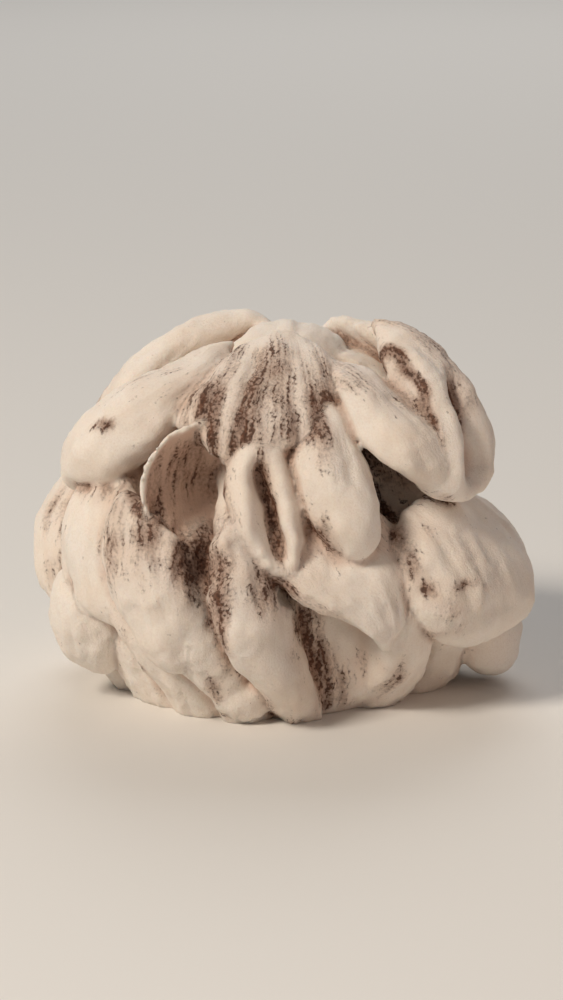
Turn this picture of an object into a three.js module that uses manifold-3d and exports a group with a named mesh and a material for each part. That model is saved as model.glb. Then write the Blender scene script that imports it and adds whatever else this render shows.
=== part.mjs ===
// A meringue cookie: one spoonful of whipped egg white, dropped in soft ruffles and baked hard.
// A ruffled body stands on its flat underside, with a cupped hollow at its front left, and lobes
// of meringue hang all round it, ending in loops, tips and a tall curl.
// Millimetres, +Z up, front towards -Y, origin in the middle of the underside.

import * as THREE from 'three';
import { mergeVertices } from 'three/addons/utils/BufferGeometryUtils.js';
import Module from 'manifold-3d';

const wasm = await Module();
wasm.setup();

// ---- Driving dimensions ----
const WIDER = 1.15;            // the cookie is this much wider than deep
const BODY_REACH = 27;         // from the middle out to the body's side
const BODY_MIDDLE = 17;        // height of the body's widest part
const BODY_ABOVE = 35;         // body above its widest part
const BODY_BELOW = 24;         // body below it, before the underside is cut flat
const BODY_FACETS = { perRuffle: 6, rows: 12 };
const LOBE_FACETS = { columns: 14, rows: 9 };
const KNOB_FACETS = { columns: 12, rows: 8 };

// The body's upright ruffles: [bearing, how far the crest stands out, depth of the valley after it].
// A bearing is in degrees round the cookie: 0 faces the front and 90 the right.
const RUFFLES = [
  [-68, 1.0, 6], [-46, 2.0, 6], [-27, 3.0, 9], [-4, 5.0, 7], [13, -4.5, 2], [36, 2.5, 8], [62, 0.5, 6],
  [92, 2.0, 7], [124, 1.0, 8], [152, 1.5, 6], [180, 0.0, 7], [-152, 1.5, 8], [-124, 0.5, 6], [-96, 1.8, 7],
];

// Where the spoon or a fold left the body pressed in.
const PITS = [
  { at: -27, reach: 24, height: 37, radius: 12, depth: 10 },
  { at: 42, reach: 25, height: 36, radius: 11, depth: 12 },
  { at: 9, reach: 26, height: 24, radius: 6, depth: 6 },
  { at: 27, reach: 26, height: 31, radius: 7, depth: 8 },
  { at: -15, reach: 27, height: 26, radius: 6, depth: 4 },
];

// The hollow is a shallow cup with a thin rim, turned to face the front.
const HOLLOW = { at: -27, reach: 19.5, height: 36, radius: 10.5, cup: 6, thick: 3.5 };
const HOLLOW_FACES = new THREE.Vector3(0.32, -0.92, 0).normalize();

// Each lobe hangs round the bearing `at`, `width` degrees wide, from `top` down to `foot`.
// `reach` is how far out its foot and its top are. The rest shape it, and may be left out:
// bulge of its middle, taper of its foot, skew of its top along the bearing, slant of its whole
// length, a groove down its middle, waves of its hem, a frill along its top, how heavy its foot is,
// and how far the foot tucks in.
const FRONT_LOBES = [
  {
    at: -1, width: 24, foot: 24, top: 46.5, reach: [25.5, 16], thick: 8.5, bulge: 2.2, taper: 0.5,
    skew: -5, groove: 6, heavy: 0.2, tuck: 0,
  },
  {
    at: 19, width: 24, foot: 27, top: 50, reach: [26, 13], thick: 10, bulge: 3, taper: 0.1,
    skew: -5, tuck: 1,
  },
  {
    at: 22, width: 50, foot: 13, top: 35, reach: [28, 20], thick: 7, bulge: 0.5, taper: 0.8, skew: -8,
    wave: 1, tuck: 1,
  },
  {
    at: 64, width: 60, foot: 11, top: 32.5, reach: [29.5, 24.5], thick: 10, bulge: 2.5,
    wave: 1.2, waves: 1.6,
  },
  {
    at: 42, width: 36, foot: 35, top: 52, reach: [28.5, 12], thick: 8, bulge: 2, skew: -6,
    slant: -2, tuck: 0,
  },
  {
    at: 57, width: 30, foot: 33, top: 57, reach: [29.5, 13], thick: 10, bulge: 2, skew: 5,
    groove: 4, tuck: 0,
  },
  {
    at: -60, width: 34, foot: 13, top: 36, reach: [26.5, 21.5], thick: 8, bulge: 1.5, wave: 1, waves: 3,
    frill: 1, tuck: 1,
  },
  {
    at: -36, width: 30, foot: 9, top: 33, reach: [28, 25.5], thick: 7, bulge: 1, taper: 0.4, skew: -3,
    slant: -3, tuck: 1,
  },
  { at: -2, width: 80, foot: 41, top: 56, reach: [19, 5], thick: 12, bulge: 1.5, wave: 1.2, waves: 2.2 },
  {
    at: -60, width: 40, foot: 33, top: 55, reach: [23.5, 7], thick: 11, bulge: 2, skew: 13,
    wave: 1, tuck: 1,
  },
];
const BACK_LOBES = [
  {
    at: 112, width: 84, foot: 6, top: 27, reach: [27, 21], thick: 11, bulge: 2.5, skew: 6, slant: 7,
    wave: 1, waves: 1.5,
  },
  {
    at: -142, width: 96, foot: 8, top: 30, reach: [27, 20], thick: 11, bulge: 2.5, skew: -7, slant: -8,
    wave: 1, waves: 1.3,
  },
  {
    at: 143, width: 58, foot: 21, top: 47, reach: [26.5, 12], thick: 11, bulge: 3, taper: 0.5,
    skew: -22, wave: 1,
  },
  { at: -172, width: 30, foot: 13, top: 40, reach: [27.5, 16], thick: 9, bulge: 2, skew: 9, groove: 4 },
  {
    at: -128, width: 54, foot: 23, top: 46, reach: [25.5, 12], thick: 11, bulge: 3, taper: 0.3,
    skew: 20, wave: 1,
  },
  {
    at: -94, width: 30, foot: 12, top: 38, reach: [27, 17], thick: 9, bulge: 2, taper: 0.7,
    skew: -10, tuck: 1,
  },
  {
    at: 116, width: 86, foot: 37, top: 54, reach: [21, 6], thick: 12, bulge: 2, skew: 14, slant: -5,
    wave: 1.2, waves: 1.5,
  },
  {
    at: -145, width: 92, foot: 36, top: 55, reach: [21.5, 5], thick: 12, bulge: 2, skew: -16,
    slant: 5, wave: 1.2,
  },
];

// Rounded lumps: two at the foot, at the far left and the front, and one that fills the top.
const KNOBS = [
  { at: -69, reach: 27, height: 12, size: [6, 6, 9] },
  { at: -14, reach: 22.5, height: 5, size: [5, 4, 3.5] },
  { at: 0, reach: 0, height: 47, size: [11, 10, 9] },
];

// ---- Small helpers ----
const { abs, cos, exp, hypot, max, min, sign, sin, sqrt, PI } = Math;
const radians = THREE.MathUtils.degToRad;
const smoothstep = THREE.MathUtils.smoothstep;

function place(bearing, reach, height) {
  const angle = radians(bearing);
  return new THREE.Vector3(WIDER * reach * sin(angle), -reach * cos(angle), height);
}

// A ball with its poles at top and bottom, whose every point is moved by `shape`, made a solid.
function moulded({ columns, rows }, shape) {
  const ball = new THREE.SphereGeometry(1, columns, rows).rotateX(PI / 2);
  ball.deleteAttribute('normal');
  ball.deleteAttribute('uv');
  const geometry = mergeVertices(ball);
  const position = geometry.attributes.position;
  for (let i = 0; i < position.count; i++) {
    const point = new THREE.Vector3().fromBufferAttribute(position, i);
    position.setXYZ(i, ...shape(point));
  }
  return solidOf(geometry);
}

function solidOf(geometry) {
  const plain = geometry.clone();
  plain.deleteAttribute('normal');
  plain.deleteAttribute('uv');
  const merged = mergeVertices(plain);
  return new wasm.Manifold(new wasm.Mesh({
    numProp: 3,
    vertProperties: new Float32Array(merged.attributes.position.array),
    triVerts: new Uint32Array(merged.index.array),
  }));
}

// ---- The ruffled body ----
// Between two crests the surface dips into a rounded valley, and the bearings crowd towards it,
// so that the valley is a narrow crease and the crests are broad. A turn of 1 is one ruffle on.
function ruffle(turn) {
  const count = RUFFLES.length;
  const index = Math.floor(THREE.MathUtils.euclideanModulo(turn, count)) % count;
  const t = THREE.MathUtils.euclideanModulo(turn, 1);
  const [start, out, valley] = RUFFLES[index];
  const [end, nextOut] = RUFFLES[(index + 1) % count];
  const span = THREE.MathUtils.euclideanModulo(end - start, 360);
  return {
    bearing: start + span * t,
    out: THREE.MathUtils.lerp(out, nextOut, smoothstep(t, 0, 1)) - valley * (1 - abs(2 * t - 1)) ** 2,
    pinch: span * sin(2 * PI * t),
  };
}

function body() {
  const facets = { columns: RUFFLES.length * BODY_FACETS.perRuffle, rows: BODY_FACETS.rows };
  return moulded(facets, (ball) => {
    const level = max(-1, min(1, ball.z));
    const round = sqrt(1 - level * level);
    const height = BODY_MIDDLE + level * (level > 0 ? BODY_ABOVE : BODY_BELOW);
    const column = Math.round(facets.columns * Math.atan2(ball.x, -ball.y) / (2 * PI));
    const { bearing, out, pinch } = ruffle(column / BODY_FACETS.perRuffle);
    // The ruffles fade towards the top and near the foot, and the body narrows upwards.
    const strength = round ** 0.6 * (0.35 + 0.65 * smoothstep(height, 1, 12));
    const drawnIn = level > 0 ? 1 - 0.12 * level : 1;
    const reach = BODY_REACH * round ** 0.62 * drawnIn + 1.2 * out * strength;
    // They lean over to one side, and wind round the body as they rise.
    const crowded = bearing + 0.15 * pinch * strength - 0.7 * out * strength * round;
    const swirl = 0.6 * (height - BODY_MIDDLE) + 2.5 * sin(height / 6 + 2 * radians(bearing));
    const point = place(crowded - swirl, reach, height);
    for (const pit of PITS) {
      const away = point.distanceTo(place(pit.at, pit.reach, pit.height)) / pit.radius;
      point.addScaledVector(place(pit.at, 1, 0), -pit.depth * max(0, 1 - away * away));
    }
    return point;
  });
}

// ---- A hanging lobe ----
function lobe({ at, width, foot, top, reach, thick, bulge = 2, taper = 0, skew = 0, slant = 0,
  groove = 0, wave = 0, waves = 2, frill = 0, heavy = 0.5, tuck = 3 }) {
  const [footReach, topReach] = reach;
  return moulded(LOBE_FACETS, (ball) => {
    // Across, up and out on the lobe, its outline squarer than a circle.
    const outline = 2.4;
    const square = (abs(ball.x) ** outline + abs(ball.z) ** outline) ** (1 / outline);
    const fuller = square > 1e-6 ? hypot(ball.x, ball.z) / square : 1;
    const across = ball.x * fuller;
    const up = ball.z * fuller;
    const outward = sign(-ball.y) * abs(ball.y) ** 0.85;
    // The lobe thickens downwards, swells in its middle, waves at its hem and tucks in at its foot.
    const down = (1 - up) / 2;
    const half = thick / 2 * (1 - heavy / 2 + heavy * down * down);
    const hem = wave * sin(PI * waves * across);
    const bearing = at + width / 2 * across * (1 - taper * max(0, -up)) + skew * up;
    let out = topReach + (footReach - topReach) * sin(PI / 2 * max(0, down) ** 0.8);
    out += bulge * (1 - across * across) * sin(PI * (0.15 + 0.75 * down));
    out += 0.35 * hem * down - tuck * down ** 4;
    // The groove runs down the middle of the face and stops short of both ends.
    if (outward > 0) {
      out -= groove * exp(-((across / 0.3) ** 2)) * exp(-(((up + 0.1) / 0.55) ** 4));
    }
    const height = foot + (top - foot) * (1 - down) + hem * down * down
      + 0.5 * outward * half * up + slant * across
      + frill * sin(PI * 4 * across) * max(0, up) ** 3;
    return place(bearing, out + outward * half, height);
  });
}

// ---- The cupped hollow and the rounded lumps ----
function hollow() {
  const centre = place(HOLLOW.at, HOLLOW.reach, HOLLOW.height);
  const side = new THREE.Vector3(0, 0, 1).cross(HOLLOW_FACES).normalize();
  const upward = HOLLOW_FACES.clone().cross(side);
  return moulded(KNOB_FACETS, (ball) => {
    const offAxis = ball.x ** 2 + ball.z ** 2;
    return centre.clone()
      .addScaledVector(side, HOLLOW.radius * ball.x)
      .addScaledVector(upward, HOLLOW.radius * ball.z)
      .addScaledVector(HOLLOW_FACES, HOLLOW.cup * (offAxis - 0.5) - ball.y * HOLLOW.thick / 2);
  });
}

function knob({ at, reach, height, size }) {
  const centre = place(at, reach, height);
  const [x, y, z] = size;
  return moulded(KNOB_FACETS, (ball) => ball.multiply(new THREE.Vector3(x, y, z)).add(centre));
}

// ---- Joining, bending and cutting flat ----
// The soft mix leans and sags a little as it sets.
function sag({ x, y, z }) {
  return new THREE.Vector3(
    x + 1.3 * sin(z / 9 + 1.1) + 0.7 * sin(y / 6.1 + x / 17),
    y + 1.2 * sin(x / 10 + 0.4) + 0.6 * sin(z / 5.7 + 2.0),
    z + 0.9 * sin(x / 7.7 + y / 9.5 + 0.8),
  );
}

// Air shut in between lobes is filled: only the biggest piece, the outside skin, is kept.
function outerSkin(solid) {
  const pieces = solid.decompose();
  return pieces.reduce((best, piece) => (piece.volume() > best.volume() ? piece : best));
}

function geometryOf(solid) {
  const mesh = solid.getMesh();
  const geometry = new THREE.BufferGeometry();
  geometry.setAttribute('position', new THREE.BufferAttribute(new Float32Array(mesh.vertProperties), 3));
  geometry.setIndex(new THREE.BufferAttribute(new Uint32Array(mesh.triVerts), 1));
  return geometry;
}

function bent(geometry) {
  const position = geometry.attributes.position;
  for (let i = 0; i < position.count; i++) {
    const point = new THREE.Vector3().fromBufferAttribute(position, i);
    position.setXYZ(i, ...sag(point));
  }
  return geometry;
}

function cutFlat(solid) {
  const side = 200;
  const depth = 40;
  const below = new THREE.BoxGeometry(side, side, depth).translate(0, 0, -depth / 2);
  return solid.subtract(solidOf(below));
}

function meringue() {
  const lumps = [
    body(),
    ...[...FRONT_LOBES, ...BACK_LOBES].map(lobe),
    hollow(),
    ...KNOBS.map(knob),
  ];
  const joined = outerSkin(lumps.reduce((whole, lump) => whole.add(lump)));
  const standing = outerSkin(cutFlat(solidOf(bent(geometryOf(joined)))));
  const geometry = geometryOf(standing);
  geometry.computeBoundingBox();
  const centre = geometry.boundingBox.getCenter(new THREE.Vector3());
  return geometry.translate(-centre.x, -centre.y, 0);
}

const geometry = meringue();
geometry.computeVertexNormals();
const mesh = new THREE.Mesh(geometry, new THREE.MeshStandardMaterial({
  color: '#E9E1D3',
  roughness: 0.9,
  metalness: 0,
}));
mesh.name = 'meringue';

const group = new THREE.Group();
group.add(mesh);

export default group;
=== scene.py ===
"""A baked meringue cookie: whipped egg white spooned out in ruffles and streaked with cocoa."""
import math

import bmesh
import bpy
import numpy as np
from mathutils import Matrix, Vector, noise
from mathutils.kdtree import KDTree


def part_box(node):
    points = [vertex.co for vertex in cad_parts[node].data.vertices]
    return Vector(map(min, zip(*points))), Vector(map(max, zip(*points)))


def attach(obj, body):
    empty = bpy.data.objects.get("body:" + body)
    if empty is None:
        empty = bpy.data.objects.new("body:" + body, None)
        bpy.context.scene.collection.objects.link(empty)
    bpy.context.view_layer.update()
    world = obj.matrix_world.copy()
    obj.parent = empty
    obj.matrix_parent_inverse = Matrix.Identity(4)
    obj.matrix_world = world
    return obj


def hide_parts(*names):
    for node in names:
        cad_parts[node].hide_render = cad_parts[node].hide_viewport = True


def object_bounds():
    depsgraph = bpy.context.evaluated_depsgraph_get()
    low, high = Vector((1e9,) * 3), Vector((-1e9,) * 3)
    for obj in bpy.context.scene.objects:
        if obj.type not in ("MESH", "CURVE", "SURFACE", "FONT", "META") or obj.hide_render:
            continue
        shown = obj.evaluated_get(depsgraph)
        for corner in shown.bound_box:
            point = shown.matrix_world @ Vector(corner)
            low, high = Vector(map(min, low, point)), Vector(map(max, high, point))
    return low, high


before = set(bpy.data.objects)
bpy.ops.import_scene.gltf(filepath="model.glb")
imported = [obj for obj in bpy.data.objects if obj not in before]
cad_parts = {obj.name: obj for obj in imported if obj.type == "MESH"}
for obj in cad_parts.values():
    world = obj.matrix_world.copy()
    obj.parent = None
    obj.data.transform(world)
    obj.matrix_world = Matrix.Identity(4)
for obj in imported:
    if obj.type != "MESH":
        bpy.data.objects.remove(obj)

CAD_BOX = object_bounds()
MM = 0.001
# A fixed start for the vector noise, so that every run gives the same cookie.
noise.seed_set(7)

# ---- The cookie's sizes, in millimetres and degrees, as in the CAD part ----
# A bearing runs round the cookie: 0 faces the front and 90 the right.
WIDER = 1.15
BODY_REACH = 27
BODY_MIDDLE = 17
BODY_ABOVE = 35
BODY_BELOW = 24

# Upright ruffles of the body: bearing, how far the crest stands out, depth of the valley after it.
RUFFLES = [
    (-68, 1.0, 6), (-46, 2.0, 6), (-27, 3.0, 9), (-4, 5.0, 7), (13, -4.5, 2), (36, 2.5, 8), (62, 0.5, 6),
    (92, 2.0, 7), (124, 1.0, 8), (152, 1.5, 6), (180, 0.0, 7), (-152, 1.5, 8), (-124, 0.5, 6), (-96, 1.8, 7),
]
# Where the spoon or a fold left the body pressed in: bearing, reach and height of the middle, radius, depth.
PITS = [
    (-27, 24, 37, 12, 10), (42, 25, 36, 11, 12), (9, 26, 24, 6, 6), (27, 26, 31, 7, 8), (-15, 27, 26, 6, 4),
]
# In the first pit sits a shallow cup with a thin rim. It faces the front and a little to the right.
HOLLOW = dict(at=-27, reach=19.5, height=36, radius=10.5, cup=6, thick=3.5)
HOLLOW_FACES = np.array([0.32, -0.92, 0.0]) / np.linalg.norm([0.32, -0.92, 0.0])

# A lobe hangs round the bearing `at`, `width` degrees wide, from `top` down to `foot`, with its foot
# and its top reaching out as far as `reach` says. `cocoa` lists its brown patches, in the lobe's own
# measure from -1 to 1: across, up, how wide, how high, and how heavy.
LOBES = [
    # the narrow looped fold with its slit
    dict(at=-1, width=24, foot=24, top=46.5, reach=(25.5, 16), thick=8.5, bulge=2.2, taper=0.5, skew=-5,
         groove=6, heavy=0.2, tuck=0,
         cocoa=[(0, -0.1, 0.22, 0.6, 1.2), (-0.85, 0.3, 0.3, 0.8, 0.8), (0.3, -0.9, 0.6, 0.25, 0.5)]),
    # the smooth drip beside it
    dict(at=19, width=24, foot=27, top=50, reach=(26, 13), thick=10, bulge=3, taper=0.1, skew=-5, tuck=1,
         cocoa=[(-0.8, -0.75, 0.3, 0.3, 1.2), (1, -0.2, 0.15, 0.6, 1.1), (-0.5, 0.65, 0.6, 0.35, 1.1)]),
    # the flap that ends in a tip
    dict(at=22, width=50, foot=13, top=35, reach=(28, 20), thick=7, bulge=0.5, taper=0.8, skew=-8, wave=1,
         tuck=1,
         # Its last brown patch, at the top right, is painted shadow in the slit under the fold above.
         cocoa=[(-0.9, 0.1, 0.2, 0.6, 0.9), (0.55, -0.35, 0.2, 0.2, 0.7), (0.5, 0.8, 0.3, 0.5, 1.2)]),
    # the big lobe at the right
    dict(at=64, width=60, foot=11, top=32.5, reach=(29.5, 24.5), thick=10, bulge=2.5, wave=1.2, waves=1.6,
         cocoa=[(-0.75, -0.2, 0.1, 0.2, 0.85), (-0.55, 0, 0.22, 0.08, 0.85), (-0.7, -0.7, 0.15, 0.15, 0.7),
                # The last patch, along the top edge, is painted shadow in the slit under the fold above.
                (-0.95, 0.5, 0.2, 0.5, 1.3), (-0.4, 1, 0.6, 0.12, 1.0)]),
    # the fold above it, and the tall curl at the top right
    dict(at=42, width=36, foot=35, top=52, reach=(28.5, 12), thick=8, bulge=2, skew=-6, slant=-2, tuck=0,
         cocoa=[(0.5, -0.6, 0.4, 0.25, 0.7), (-0.5, 0.7, 0.6, 0.3, 0.6)]),
    dict(at=57, width=30, foot=33, top=57, reach=(29.5, 13), thick=10, bulge=2, skew=5, groove=4, tuck=0,
         cocoa=[(-0.8, 0, 0.1, 1.0, 1.3), (0, 0, 0.1, 0.7, 0.9), (0.3, 0.7, 0.7, 0.5, 0.6),
                (-0.3, -0.95, 0.5, 0.1, 1.1)]),
    # the scalloped ruffle at the left and the bulge under the hollow
    dict(at=-60, width=34, foot=13, top=36, reach=(26.5, 21.5), thick=8, bulge=1.5, wave=1.0, waves=3,
         frill=1.0, tuck=1,
         cocoa=[(0, 0.75, 1.2, 0.3, 0.6), (0.9, 0.2, 0.3, 0.6, 0.6), (-0.7, -0.3, 0.4, 0.4, 0.5)]),
    dict(at=-36, width=30, foot=9, top=33, reach=(28, 25.5), thick=7, bulge=1, taper=0.4, skew=-3, slant=-3,
         tuck=1,
         cocoa=[(0.6, 0.6, 0.5, 0.4, 1.1), (-0.3, 0.3, 0.8, 0.5, 0.6), (0, 0.9, 1.2, 0.15, 1.2)]),
    # the crown and the fold at the upper left
    dict(at=-2, width=80, foot=41, top=56, reach=(19, 5), thick=12, bulge=1.5, wave=1.2, waves=2.2,
         cocoa=[(-0.45, -0.2, 0.4, 0.9, 1.3), (0.32, -0.1, 0.28, 0.7, 1.25), (0, 0.5, 0.8, 0.4, 0.7)]),
    dict(at=-60, width=40, foot=33, top=55, reach=(23.5, 7), thick=11, bulge=2, wave=1, skew=13, tuck=1,
         cocoa=[(0.35, -0.1, 0.15, 0.1, 1.1), (0, 0.6, 0.6, 0.3, 0.5)]),
    # long slanting folds and short drips round the back
    dict(at=112, width=84, foot=6, top=27, reach=(27, 21), thick=11, bulge=2.5, slant=7, wave=1, waves=1.5,
         skew=6,
         cocoa=[(-0.6, 0.5, 0.5, 0.25, 1.0), (0.5, -0.4, 0.4, 0.4, 0.7)]),
    dict(at=-142, width=96, foot=8, top=30, reach=(27, 20), thick=11, bulge=2.5, slant=-8, wave=1, waves=1.3,
         skew=-7,
         cocoa=[(0.3, 0.6, 0.7, 0.25, 1.0), (-0.6, -0.3, 0.4, 0.4, 0.7)]),
    dict(at=143, width=58, foot=21, top=47, reach=(26.5, 12), thick=11, bulge=3, skew=-22, taper=0.5, wave=1,
         cocoa=[(0.7, 0, 0.3, 0.9, 1.0), (0, 0.8, 0.8, 0.3, 0.6)]),
    dict(at=-172, width=30, foot=13, top=40, reach=(27.5, 16), thick=9, bulge=2, skew=9, groove=4,
         cocoa=[(0, 0, 0.25, 0.8, 0.9), (-0.8, 0.3, 0.3, 0.6, 0.7)]),
    dict(at=-128, width=54, foot=23, top=46, reach=(25.5, 12), thick=11, bulge=3, skew=20, taper=0.3, wave=1,
         cocoa=[(-0.8, 0, 0.25, 0.7, 0.9), (0.4, -0.2, 0.25, 0.5, 0.8)]),
    dict(at=-94, width=30, foot=12, top=38, reach=(27, 17), thick=9, bulge=2, skew=-10, taper=0.7, tuck=1,
         cocoa=[(0.7, 0.1, 0.3, 0.7, 1.0), (-0.6, -0.3, 0.3, 0.4, 0.6)]),
    dict(at=116, width=86, foot=37, top=54, reach=(21, 6), thick=12, bulge=2, slant=-5, skew=14, wave=1.2,
         waves=1.5,
         cocoa=[(-0.7, -0.2, 0.3, 0.6, 1.0), (0.4, 0.2, 0.5, 0.4, 0.6)]),
    dict(at=-145, width=92, foot=36, top=55, reach=(21.5, 5), thick=12, bulge=2, slant=5, skew=-16, wave=1.2,
         cocoa=[(0.5, -0.3, 0.25, 0.6, 1.0), (-0.5, 0.4, 0.4, 0.4, 0.7)]),
]
# Small rounded lumps at the foot, and the one that fills the crown.
KNOBS = [
    dict(at=-69, reach=27, height=12, size=(6, 6, 9)),
    dict(at=-14, reach=22.5, height=5, size=(5, 4, 3.5)),
    dict(at=0, reach=0, height=47, size=(11, 10, 9)),
]

# Brown patches on the body: bearing, height, how wide in degrees, how high in mm, how heavy.
# The one at bearing 40, height 37 is painted shadow in the slit under the fold at the right.
BODY_COCOA_AND_SHADOW = [
    (-24, 26, 9, 7, 1.1), (-15, 21, 4, 10, 1.25), (-34, 31, 9, 3, 0.9), (-32, 20, 6, 6, 0.55),
    (-52, 20, 12, 10, 0.5), (7, 23, 4, 5, 1.25), (10, 16, 5, 6, 1.2), (14, 9, 6, 6, 1.05),
    (20, 4, 7, 4, 0.85), (-3, 24, 7, 6, 0.6), (-19, 5, 4, 3.5, 1.1), (-6, 3.5, 3, 3, 0.9),
    (2, 1.5, 3, 2, 0.6), (34, 5, 4, 5, 0.5), (-64, 20, 3, 8, 0.7), (40, 37, 16, 9, 2.4),
    (28, 31, 5, 7, 1.3), (-58, 27, 2, 1.5, 1.3), (27, 6, 3, 2, 1.2), (-44, 6, 2, 1.5, 1.1),
    (12, 3, 3, 1.5, 1.0), (84, 12, 6, 12, 0.8), (122, 8, 8, 6, 0.8), (158, 12, 6, 12, 0.9),
    (-168, 8, 9, 7, 0.7), (-130, 12, 7, 12, 0.9), (-92, 9, 6, 9, 0.7),
]

# How often each lump's ball is divided, and how fine the one skin over them is.
BODY_FINENESS = 7
LOBE_FINENESS = 6
KNOB_FINENESS = 5
VOXEL = 0.55

# How often the skin is evened out: lightly, to lose its small folds, and to lose all but its bulk.
EVEN_ROUNDS = 3
SOFT_ROUNDS = 14
BROAD_ROUNDS = 60
# How far creases are sunk and ridges raised at most, and the depth that counts as a full crease.
SINK = 1.2
RAISE = 0.6
FULL_CREASE = 1.2
# Heights of the spoon's drag lines and of the grain, on clean foam and what a rough crust adds.
DRAG_HIGH, DRAG_ON_CRUST = 0.16, 0.5
GRAIN_HIGH, GRAIN_ON_CRUST = 0.1, 0.16

# Each point of a lump carries marks: its lump's number, how far across and up it is, how far across
# and down the flow, and its place.
LUMP, ACROSS, UP, FLOW_ACROSS, FLOW_DOWN = range(5)
PLACE = slice(5, 8)
HOLLOW_RIM = 0.95


def smoothstep(x, low, high):
    t = np.clip((x - low) / (high - low), 0, 1)
    return t * t * (3 - 2 * t)


def place(bearing, reach, height):
    angle = np.radians(bearing)
    return np.stack([WIDER * reach * np.sin(angle), -reach * np.cos(angle), height], axis=-1)


# ---- The lumps of meringue ----
# Each shape function takes the points of a unit ball and gives where they go, then how far across and
# how far up each point is: on the body its bearing and height, and on any other lump from -1 to 1.
def ruffle(bearing):
    """How far the body's surface stands out at a bearing, and which way it crowds into a crease."""
    out = np.zeros_like(bearing)
    pinch = np.zeros_like(bearing)
    for (start, crest, valley), (end, next_crest, _) in zip(RUFFLES, RUFFLES[1:] + RUFFLES[:1]):
        span = (end - start) % 360
        along = (bearing - start) % 360
        here = along <= span
        t = along[here] / span
        dip = (1 - np.abs(2 * t - 1)) ** 2
        out[here] = crest + (next_crest - crest) * smoothstep(t, 0, 1) - valley * dip
        pinch[here] = span * np.sin(2 * math.pi * t)
    return out, pinch


def pressed_in(point):
    """The body with the pits pressed into it."""
    for bearing, reach, height, radius, depth in PITS:
        away = np.linalg.norm(point - place(bearing, reach, height), axis=1) / radius
        point = point - np.outer(depth * np.clip(1 - away * away, 0, 1), place(bearing, 1, 0))
    return point


def body_shape(ball):
    stand_out, crowd, lean = 1.2, 0.15, 0.7
    swirl_per_mm = 0.6
    level = np.clip(ball[:, 2], -1, 1)
    rounding = np.sqrt(1 - level * level)
    height = BODY_MIDDLE + level * np.where(level > 0, BODY_ABOVE, BODY_BELOW)
    bearing = np.degrees(np.arctan2(ball[:, 0], -ball[:, 1]))
    out, pinch = ruffle(bearing)
    # The ruffles are weaker at the foot and run out towards the crown.
    strength = rounding ** 0.6 * (0.35 + 0.65 * smoothstep(height, 1, 12))
    drawn_in = np.where(level > 0, 1 - 0.12 * level, 1)
    reach = BODY_REACH * rounding ** 0.62 * drawn_in + stand_out * out * strength
    crowded = bearing + crowd * pinch * strength - lean * out * strength * rounding
    swirl = swirl_per_mm * (height - BODY_MIDDLE) + 2.5 * np.sin(height / 6 + 2 * np.radians(bearing))
    point = pressed_in(place(crowded - swirl, reach, height))
    return point, crowded - swirl, height


def lobe_shape(ball, at, width, foot, top, reach, thick, bulge=2, taper=0, skew=0, slant=0,
               groove=0, wave=0, waves=2, frill=0, heavy=0.5, tuck=3):
    squareness, flatness = 2.4, 0.85
    square = (np.abs(ball[:, 0]) ** squareness + np.abs(ball[:, 2]) ** squareness) ** (1 / squareness)
    fuller = np.hypot(ball[:, 0], ball[:, 2]) / np.maximum(square, 1e-6)
    across = ball[:, 0] * fuller
    up = ball[:, 2] * fuller
    outward = np.sign(-ball[:, 1]) * np.abs(ball[:, 1]) ** flatness
    down = np.clip((1 - up) / 2, 0, 1)
    half = thick / 2 * (1 - heavy / 2 + heavy * down * down)
    hem = wave * np.sin(math.pi * waves * across)
    bearing = at + width / 2 * across * (1 - taper * np.clip(-up, 0, 1)) + skew * up
    foot_reach, top_reach = reach
    out = top_reach + (foot_reach - top_reach) * np.sin(math.pi / 2 * down ** 0.8)
    out += bulge * (1 - across * across) * np.sin(math.pi * (0.15 + 0.75 * down))
    out += 0.35 * hem * down - tuck * down ** 4
    out -= (outward > 0) * groove * np.exp(-(across / 0.3) ** 2) * np.exp(-((up + 0.1) / 0.55) ** 4)
    height = foot + (top - foot) * (1 - down) + hem * down * down + 0.5 * outward * half * up + slant * across
    height += frill * np.sin(math.pi * 4 * across) * np.clip(up, 0, 1) ** 3
    return place(bearing, out + outward * half, height), across, up


def hollow_shape(ball, at, reach, height, radius, cup, thick):
    side = np.cross(HOLLOW_FACES, [0, 0, 1])
    side /= -np.linalg.norm(side)
    upward = np.cross(HOLLOW_FACES, side)
    off_axis = ball[:, 0] ** 2 + ball[:, 2] ** 2
    out = cup * (off_axis - 0.5) - ball[:, 1] * thick / 2
    across_and_up = radius * (np.outer(ball[:, 0], side) + np.outer(ball[:, 2], upward))
    point = place(at, reach, height) + across_and_up + np.outer(out, HOLLOW_FACES)
    return point, ball[:, 0], ball[:, 2]


def knob_shape(ball, at, reach, height, size):
    return ball * np.array(size) + place(at, reach, height), ball[:, 0], ball[:, 2]


def flow_on(shape, sizes, across, up):
    """How far each point is across and down the way its lump was drawn out, roughly in millimetres."""
    if shape is body_shape:
        mm_per_degree = 0.45
        return np.stack([across * mm_per_degree, -up], 1)
    if shape is lobe_shape:
        half_mm_per_degree, drape = 0.22, 1.2
        tall = sizes["top"] - sizes["foot"]
        return np.stack([across * sizes["width"] * half_mm_per_degree, (1 - up) / 2 * tall * drape], 1)
    knob_radius = 6
    return np.stack([across * knob_radius, -up * knob_radius], 1)


def sag(point):
    """The soft mix leans and sags a little as it sets."""
    x, y, z = point.T
    return np.stack([
        x + 1.3 * np.sin(z / 9 + 1.1) + 0.7 * np.sin(y / 6.1 + x / 17),
        y + 1.2 * np.sin(x / 10 + 0.4) + 0.6 * np.sin(z / 5.7 + 2.0),
        z + 0.9 * np.sin(x / 7.7 + y / 9.5 + 0.8),
    ], axis=1)


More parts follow.
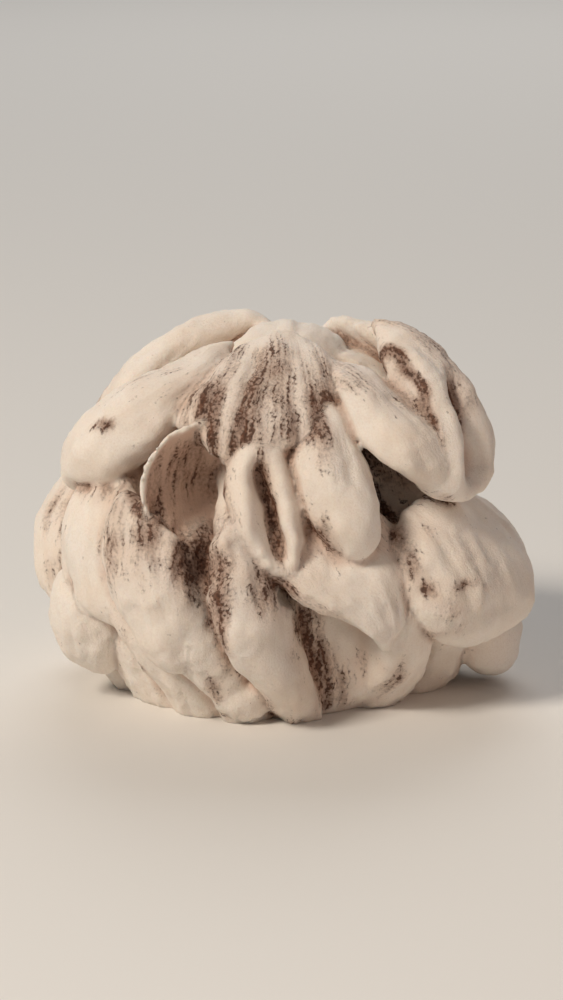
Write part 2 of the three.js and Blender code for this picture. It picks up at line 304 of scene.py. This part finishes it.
def unevenness(point):
    """Slow swells of the hand-spooned mix, about a millimetre high, and smaller ones on them."""
    return np.array([0.8 * noise.noise_vector(p / 8) + 0.3 * noise.noise_vector(p / 3.5)
                     for p in map(Vector, point)])


def all_lumps():
    """Yields each lump's fineness, shape function, sizes and brown patches: the body first and the
    hollow last."""
    yield BODY_FINENESS, body_shape, {}, ()
    for lobe in LOBES:
        sizes = dict(lobe)
        cocoa = sizes.pop("cocoa")
        yield LOBE_FINENESS, lobe_shape, sizes, cocoa
    for knob in KNOBS:
        yield KNOB_FINENESS, knob_shape, knob, ()
    yield LOBE_FINENESS, hollow_shape, HOLLOW, ()


def spooned_lumps():
    """All the lumps in one bmesh, and the marks of each of its points."""
    bm = bmesh.new()
    marks = []
    for index, (fineness, shape, sizes, _) in enumerate(all_lumps()):
        made = bmesh.ops.create_icosphere(bm, subdivisions=fineness, radius=1)["verts"]
        ball = np.array([v.co for v in made])
        point, across, up = shape(ball, **sizes)
        point = sag(point)
        point += unevenness(point)
        for vert, co in zip(made, point):
            vert.co = co
        flow = flow_on(shape, sizes, across, up)
        marks.append(np.column_stack([np.full(len(made), index), across, up, flow, point]))
    return bm, np.concatenate(marks)


# ---- One skin over all the lumps ----
def skin_over(bm):
    """Melts the lumps into one closed skin with even, fine faces."""
    mesh = bpy.data.meshes.new("lumps")
    bm.to_mesh(mesh)
    bm.free()
    lumps = bpy.data.objects.new("lumps", mesh)
    bpy.context.collection.objects.link(lumps)
    remesh = lumps.modifiers.new("one skin", "REMESH")
    remesh.mode = "VOXEL"
    remesh.voxel_size = VOXEL
    bpy.context.view_layer.update()
    graph = bpy.context.evaluated_depsgraph_get()
    skin = bpy.data.meshes.new_from_object(lumps.evaluated_get(graph))
    bpy.data.objects.remove(lumps)
    return skin


def only_outer_skin(mesh):
    """Drops the walls of air pockets shut inside, which nobody sees."""
    bm = bmesh.new()
    bm.from_mesh(mesh)
    highest = max(bm.verts, key=lambda v: v.co.z)
    outer = {highest}
    front = [highest]
    while front:
        vert = front.pop()
        for edge in vert.link_edges:
            other = edge.other_vert(vert)
            if other not in outer:
                outer.add(other)
                front.append(other)
    inner = [v for v in bm.verts if v not in outer]
    bmesh.ops.delete(bm, geom=inner, context="VERTS")
    bm.to_mesh(mesh)
    bm.free()


def points_of(mesh):
    co = np.empty(len(mesh.vertices) * 3)
    mesh.vertices.foreach_get("co", co)
    return co.reshape(-1, 3)


def move_points(mesh, points):
    mesh.vertices.foreach_set("co", points.ravel())
    mesh.update()


def normals_of(mesh, points):
    move_points(mesh, points)
    normal = np.empty(len(points) * 3)
    mesh.vertex_normals.foreach_get("vector", normal)
    return normal.reshape(-1, 3)


def relaxed(mesh, points, rounds, pull=0.5):
    """Evens the points out by pulling each towards the middle of its neighbours."""
    edges = np.empty(len(mesh.edges) * 2, dtype=np.int64)
    mesh.edges.foreach_get("vertices", edges)
    a, b = edges.reshape(-1, 2).T
    ends = np.concatenate([a, b])
    others = np.concatenate([b, a])
    neighbours = np.bincount(ends, minlength=len(points))
    for _ in range(rounds):
        sums = [np.bincount(ends, points[others, axis], len(points)) for axis in range(3)]
        points = points + pull * (np.stack(sums, 1) / neighbours[:, None] - points)
    return points


def spread(mesh, values, rounds):
    """The same evening out for one number at each point."""
    return relaxed(mesh, np.column_stack([values] * 3), rounds)[:, 0]


def marks_on(points, marks):
    """The marks of the nearest spooned point, for every point of the skin."""
    tree = KDTree(len(marks))
    for index, co in enumerate(marks[:, PLACE]):
        tree.insert(co, index)
    tree.balance()
    nearest = np.array([tree.find(p)[1] for p in points])
    return marks[nearest]


def noise_at(points, size, apart=0):
    """Smooth noise with swells of a size in mm. Another `apart` gives another noise."""
    return np.array([noise.noise(p) for p in map(Vector, (points + apart) / size)])


def noise_along(marks, wide, long):
    """Noise drawn out along the flow of each lump, and different on each."""
    own_part = marks[:, LUMP] * 3.7
    drawn_out = np.column_stack([marks[:, FLOW_ACROSS] / wide, marks[:, FLOW_DOWN] / long, own_part])
    return noise_at(drawn_out, 1.0)


# ---- Cocoa, and painted shade in the creases and the slit ----
def patch(x, y, x0, y0, wide, high):
    return np.exp(-((x - x0) / wide) ** 2 - ((y - y0) / high) ** 2)


def cocoa_and_shadow_patches(lump, across, up):
    """The heaviest of the brown patches at each point, painted shadow among them."""
    heavy = np.zeros(len(lump))
    for index, (_, _, _, cocoa) in enumerate(all_lumps()):
        here = lump == index
        for x0, y0, wide, high, amount in cocoa:
            heavy[here] = np.maximum(heavy[here], amount * patch(across[here], up[here], x0, y0, wide, high))
    body = lump == 0
    for bearing, height, wide, high, amount in BODY_COCOA_AND_SHADOW:
        turned = (across[body] - bearing + 180) % 360 - 180
        heavy[body] = np.maximum(heavy[body], amount * patch(turned, up[body], 0, height, wide, high))
    # In the hollow a thin dusting lies, and more in its lower rim.
    hollow = lump == lump.max()
    low_rim = np.clip(-up[hollow], 0, 1) * smoothstep(np.hypot(across, up)[hollow], 0.7, HOLLOW_RIM)
    heavy[hollow] = 0.1 + low_rim
    return heavy


def cocoa_and_shade_on(points, marks, crease):
    """How much cocoa lies at each point, from 0 to about 1, with painted shade added in the creases and the
    slit.
    """
    lump, across, up = marks[:, LUMP].astype(int), marks[:, ACROSS], marks[:, UP]
    # The patches' edges wander, on the body by a few degrees and millimetres.
    body = lump == 0
    across = across + noise_at(points, 5.0, 20) * np.where(body, 6, 0.15)
    up = up + noise_at(points, 5.0, 60) * np.where(body, 4, 0.3)
    heavy = cocoa_and_shadow_patches(lump, across, up)
    # It is drawn out in bands along the flow. Brown added in the creases is partly cocoa, partly painted
    # shade.
    bands = noise_along(marks, 1.8, 12)
    heavy *= np.clip(0.95 + 1.3 * bands, 0.3, 1.35)
    heavy += np.clip(crease, 0, 1) * np.clip(0.4 + 1.4 * noise_at(points, 9.0, 40), 0, 0.8)
    return np.clip(heavy, 0, 1.15)


# ---- The finished cookie ----
def crisp_folds(mesh, points):
    """Makes folds crisper than the melted skin: creases go in and ridges come out. Gives the points
    and which way the skin faces at each, its small folds left out."""
    soft = relaxed(mesh, points, SOFT_ROUNDS)
    facing = normals_of(mesh, soft)
    relief = np.sum((points - soft) * facing, axis=1)
    return points + facing * np.clip(relief, -SINK, RAISE)[:, None], facing


def creases_on(mesh, points, facing, marks):
    """How deep in a crease each point lies: 1 is deep, and -1 is on a ridge. The hollow counts as deep, so
    that it takes the painted crease shade and crease brown.
    """
    broad = relaxed(mesh, points, BROAD_ROUNDS)
    crease = np.clip(np.sum((broad - points) * facing, axis=1) / FULL_CREASE, -1, 1)
    off_axis = np.hypot(marks[:, ACROSS], marks[:, UP])
    in_hollow = (marks[:, LUMP] == marks[:, LUMP].max()) & (off_axis < HOLLOW_RIM)
    return spread(mesh, np.where(in_hollow, np.maximum(crease, 0.75), crease), 3)


def store(mesh, name, kind, field, values):
    layer = mesh.attributes.new(name, kind, "POINT")
    layer.data.foreach_set(field, np.asarray(values, dtype=np.float32).ravel())


# The flow attribute holds millimetres across and down, and each lump a step apart from the last.
LUMP_STEP = 7


def cookie_mesh():
    bm, marks = spooned_lumps()
    mesh = skin_over(bm)
    only_outer_skin(mesh)
    points = relaxed(mesh, points_of(mesh), EVEN_ROUNDS)
    marks = marks_on(points, marks)
    points, facing = crisp_folds(mesh, points)
    crease = creases_on(mesh, points, facing, marks)
    cocoa = spread(mesh, cocoa_and_shade_on(points, marks, crease), 2)

    # Fine ridges where the spoon dragged, along the flow of each lump, and small grains. Both stand
    # higher where the skin is rough: in wide blotches, and where cocoa lies.
    drag = noise_along(marks, 1.4, 10)
    grain = noise_at(points, 1.5)
    blotches = smoothstep(noise_at(points, 9.0, 90), -0.25, 0.3)
    skin = np.maximum(blotches * 0.7, smoothstep(cocoa, 0.15, 0.6))
    relief = drag * (DRAG_HIGH + DRAG_ON_CRUST * skin) + grain * (GRAIN_HIGH + GRAIN_ON_CRUST * skin)
    points = points + facing * relief[:, None]
    points[:, 2] = np.maximum(points[:, 2], 0)
    move_points(mesh, points)
    # The cocoa attribute holds cocoa and painted shade: brown in the creases and in the slit.
    store(mesh, "cocoa", "FLOAT", "value", cocoa)
    store(mesh, "crease", "FLOAT", "value", crease)
    store(mesh, "skin", "FLOAT", "value", skin)
    flow = np.column_stack([marks[:, FLOW_ACROSS], marks[:, FLOW_DOWN], marks[:, LUMP] * LUMP_STEP])
    store(mesh, "flow", "FLOAT_VECTOR", "vector", flow * MM)
    return mesh


def stand_in_box(mesh):
    """Scales the mesh to metres and stands it where the CAD cookie stands."""
    low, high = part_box("meringue")
    points = points_of(mesh) * MM
    middle = (points.min(axis=0) + points.max(axis=0)) / 2
    points += [(low[0] + high[0]) / 2 - middle[0], (low[1] + high[1]) / 2 - middle[1], low[2]]
    move_points(mesh, points)


# ---- Materials ----
def colour(sheet):
    """An sRGB hex colour as the linear colour that a shader takes."""
    parts = [int(sheet[i:i + 2], 16) / 255 for i in (1, 3, 5)]
    return [c / 12.92 if c <= 0.04045 else ((c + 0.055) / 1.055) ** 2.4 for c in parts] + [1.0]


def add(tree, kind, settings=(), links=()):
    """Adds a node, sets its sockets and properties, and links sockets into it."""
    node = tree.nodes.new(kind)
    for name, value in dict(settings).items():
        if isinstance(name, str) and hasattr(node, name):
            setattr(node, name, value)
        else:
            node.inputs[name].default_value = value
    for name, source in dict(links).items():
        tree.links.new(source, node.inputs[name])
    return node


# Real sizes of the patterns, in millimetres: cocoa's strokes and specks, the crust's sugar grains,
# and the wide blotches that bake darker.
STROKE_WIDE = 0.55
STROKE_LONG = 3.5
SPECK = 0.5
GRIT = 0.3
BLOTCH = 9


def brown_streaks(tree, cocoa, streak, speck):
    """Where much cocoa lies it is a soft brown veil; where little lies, only dashes and specks show."""
    both = add(tree, "ShaderNodeMix", {"data_type": "FLOAT", 0: 0.4}, {2: streak, 3: speck}).outputs[0]
    edge = add(tree, "ShaderNodeMapRange", {"From Min": 0.0, "From Max": 1.0, "To Min": 0.70, "To Max": 0.44},
               {"Value": cocoa}).outputs[0]
    over = add(tree, "ShaderNodeMath", {"operation": "SUBTRACT"}, {0: both, 1: edge}).outputs[0]
    dashes = add(tree, "ShaderNodeMapRange", {"From Min": -0.04, "From Max": 0.08, "To Max": 0.9},
                 {"Value": over}).outputs[0]
    uneven = add(tree, "ShaderNodeMath", {"operation": "MULTIPLY_ADD", 1: 2.4},
                 {0: both, 2: cocoa}).outputs[0]
    veil = add(tree, "ShaderNodeMapRange", {"From Min": 1.55, "From Max": 2.5, "To Max": 0.95},
               {"Value": uneven}).outputs[0]
    return add(tree, "ShaderNodeMath", {"operation": "MAXIMUM"}, {0: dashes, 1: veil}).outputs[0]


def cream_foam(tree, place_on, grit, cocoa):
    """Cream white foam, a little warmer where it bakes darker and on its grains, with painted shade in its
    creases and in the hollow, and warmer round each streak, where rubbed cocoa tints it."""
    blotch = add(tree, "ShaderNodeTexNoise", {"Scale": 1 / (BLOTCH * MM), "Detail": 3.0},
                 {"Vector": place_on}).outputs["Fac"]
    toast = add(tree, "ShaderNodeMapRange", {"From Min": 0.35, "From Max": 0.7}, {"Value": blotch}).outputs[0]
    foam = add(tree, "ShaderNodeMix", {"data_type": "RGBA", 6: colour("#F1E8DE"), 7: colour("#ECDFD1")},
               {0: toast}).outputs[2]
    grain = add(tree, "ShaderNodeMapRange", {"From Min": 0.45, "From Max": 0.7, "To Max": 0.3},
                {"Value": grit}).outputs[0]
    foam = add(tree, "ShaderNodeMix", {"data_type": "RGBA", 7: colour("#D9C4B2")},
               {0: grain, 6: foam}).outputs[2]
    # Painted shade: the creases and the hollow are tinted pinkish tan, most in the deepest creases.
    crease = add(tree, "ShaderNodeAttribute", {"attribute_name": "crease"}).outputs["Fac"]
    deep = add(tree, "ShaderNodeMapRange", {"From Min": 0.1, "From Max": 0.9, "To Max": 0.8},
               {"Value": crease}).outputs[0]
    foam = add(tree, "ShaderNodeMix", {"data_type": "RGBA", 7: colour("#C19A82")},
               {0: deep, 6: foam}).outputs[2]
    tint = add(tree, "ShaderNodeMapRange", {"From Min": 0.1, "From Max": 0.9, "To Max": 0.55},
               {"Value": cocoa}).outputs[0]
    return add(tree, "ShaderNodeMix", {"data_type": "RGBA", 7: colour("#C09A82")},
               {0: tint, 6: foam}).outputs[2]


def baked_meringue():
    """Egg white foam whipped with sugar and dried in a slow oven: matte, chalky, faintly see-through,
    with cocoa folded in by hand, so that it shows as dry brown streaks and specks."""
    material = bpy.data.materials.new("baked meringue with cocoa")
    material.use_nodes = True
    tree = material.node_tree
    shader = tree.nodes["Principled BSDF"]
    place_on = add(tree, "ShaderNodeTexCoord").outputs["Object"]
    flow = add(tree, "ShaderNodeAttribute", {"attribute_name": "flow"}).outputs["Vector"]
    cocoa = add(tree, "ShaderNodeAttribute", {"attribute_name": "cocoa"}).outputs["Fac"]
    skin = add(tree, "ShaderNodeAttribute", {"attribute_name": "skin"}).outputs["Fac"]

    per_stroke = (1 / (STROKE_WIDE * MM), 1 / (STROKE_LONG * MM), 1 / (LUMP_STEP * MM))
    along = add(tree, "ShaderNodeMapping", {"Scale": per_stroke}, {"Vector": flow}).outputs[0]
    streak = add(tree, "ShaderNodeTexNoise", {"Scale": 1.0, "Detail": 1.5, "Roughness": 0.5},
                 {"Vector": along}).outputs["Fac"]
    speck = add(tree, "ShaderNodeTexNoise", {"Scale": 1 / (SPECK * MM), "Detail": 2.0, "Roughness": 0.5},
                {"Vector": place_on}).outputs["Fac"]
    grit = add(tree, "ShaderNodeTexNoise", {"Scale": 1 / (GRIT * MM), "Detail": 4.0, "Roughness": 0.65},
               {"Vector": place_on}).outputs["Fac"]

    brown = brown_streaks(tree, cocoa, streak, speck)
    foam = cream_foam(tree, place_on, grit, cocoa)
    thick = add(tree, "ShaderNodeMapRange", {"From Min": 0.3, "From Max": 0.7}, {"Value": speck}).outputs[0]
    powder = add(tree, "ShaderNodeMix", {"data_type": "RGBA", 6: colour("#70452F"), 7: colour("#3B2014")},
                 {0: thick}).outputs[2]
    shade = add(tree, "ShaderNodeMix", {"data_type": "RGBA"}, {0: brown, 6: foam, 7: powder}).outputs[2]
    tree.links.new(shade, shader.inputs["Base Color"])

    # The crust's grains and the dry strokes stand a little rough, most where the skin is rough.
    rough = add(tree, "ShaderNodeMix", {"data_type": "FLOAT", 0: 0.5}, {2: grit, 3: streak}).outputs[0]
    firm = add(tree, "ShaderNodeMapRange", {"To Min": 0.45, "To Max": 1.0}, {"Value": skin}).outputs[0]
    bump = add(tree, "ShaderNodeBump", {"Distance": 0.35 * MM}, {"Height": rough, "Strength": firm})
    tree.links.new(bump.outputs[0], shader.inputs["Normal"])
    shader.inputs["Roughness"].default_value = 0.88
    shader.inputs["IOR"].default_value = 1.45
    shader.inputs["Specular IOR Level"].default_value = 0.35
    shader.inputs["Subsurface Weight"].default_value = 0.25
    shader.inputs["Subsurface Radius"].default_value = (1.0, 0.7, 0.5)
    shader.inputs["Subsurface Scale"].default_value = 1.2 * MM
    return material


def painted_table():
    """A matt painted board, pale and even."""
    material = bpy.data.materials.new("pale matt table")
    material.use_nodes = True
    shader = material.node_tree.nodes["Principled BSDF"]
    shader.inputs["Base Color"].default_value = colour("#E8E5E0")
    shader.inputs["Roughness"].default_value = 0.8
    return material


# ---- Pieces ----
def cookie():
    mesh = cookie_mesh()
    stand_in_box(mesh)
    mesh.name = "meringue_cookie"
    mesh.shade_smooth()
    piece = bpy.data.objects.new("meringue_cookie", mesh)
    bpy.context.collection.objects.link(piece)
    mesh.materials.append(baked_meringue())
    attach(piece, "root")
    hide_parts("meringue")


def table():
    half_width = 1.5
    bm = bmesh.new()
    bmesh.ops.create_grid(bm, x_segments=1, y_segments=1, size=half_width)
    mesh = bpy.data.meshes.new("table")
    bm.to_mesh(mesh)
    bm.free()
    top = bpy.data.objects.new("table", mesh)
    bpy.context.collection.objects.link(top)
    mesh.materials.append(painted_table())


# ---- Light and camera ----
def aimed(data, at, towards):
    thing = bpy.data.objects.new(data.name, data)
    bpy.context.collection.objects.link(thing)
    thing.location = at
    thing.rotation_euler = (Vector(towards) - Vector(at)).to_track_quat("-Z", "Y").to_euler()
    return thing


def soft_light(name, at, size, power, tone):
    cookie_middle = (0, 0, 0.025)
    data = bpy.data.lights.new(name, "AREA")
    data.size = size
    data.energy = power
    data.color = colour(tone)[:3]
    aimed(data, at, cookie_middle)


def studio():
    world = bpy.data.worlds.new("studio")
    bpy.context.scene.world = world
    world.use_nodes = True
    backdrop = world.node_tree.nodes["Background"]
    backdrop.inputs["Color"].default_value = colour("#F2F4F8")
    backdrop.inputs["Strength"].default_value = 0.15
    soft_light("key", (-0.60, -0.52, 0.72), 0.26, 8.0, "#FFF4E6")
    soft_light("fill", (0.40, -0.30, 0.15), 0.30, 0.22, "#FFD0B4")
    soft_light("back", (0.15, 1.4, 1.3), 1.2, 13.0, "#F8F6F4")
    bpy.context.scene.view_settings.view_transform = "Standard"


def camera():
    low, high = CAD_BOX
    middle = (low[2] + high[2]) / 2
    elevation = math.radians(14)
    distance = 0.45
    data = bpy.data.cameras.new("camera")
    data.lens = 105
    at = (0, -distance * math.cos(elevation), middle + distance * math.sin(elevation))
    bpy.context.scene.camera = aimed(data, at, (0, 0, middle))


cookie()
table()
studio()
camera()
